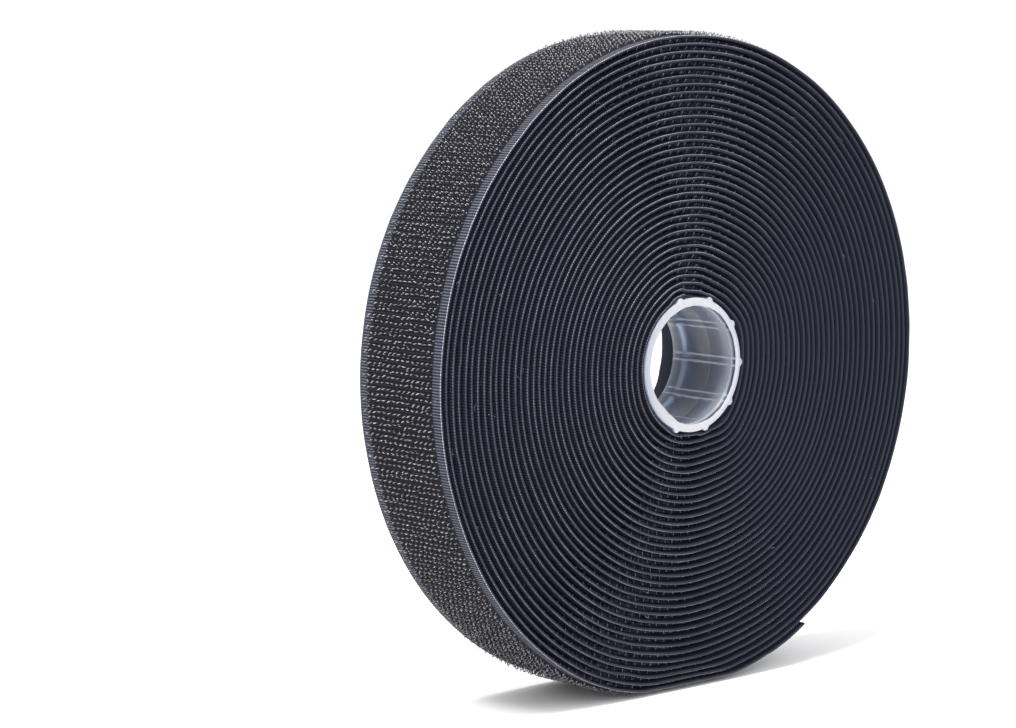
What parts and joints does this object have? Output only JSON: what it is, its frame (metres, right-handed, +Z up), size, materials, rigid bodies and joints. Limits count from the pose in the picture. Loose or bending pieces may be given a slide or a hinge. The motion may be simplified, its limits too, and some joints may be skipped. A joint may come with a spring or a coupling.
{
  "type": "roll of hook tape",
  "caption": "Black hook tape with bare woven selvedges, wound hooks outward in a flat spiral on a short ribbed translucent core.",
  "frame": {"origin": "under the middle of the roll's box, at the height of the flat spot it stands on", "axes": "+Z up, Y along the roll's axis with the front face towards -Y, X across the roll; the tape winds outward counter-clockwise as seen from the front"},
  "size_m": [0.1424, 0.025, 0.1402],
  "materials": {
    "tape": "woven nylon with stiff hooks, near black",
    "core_plastic": "translucent moulded polypropylene, satin"
  },
  "bodies": {
    "root": {"tape_roll": "tape", "core": "core_plastic"}
  },
  "joints": []
}
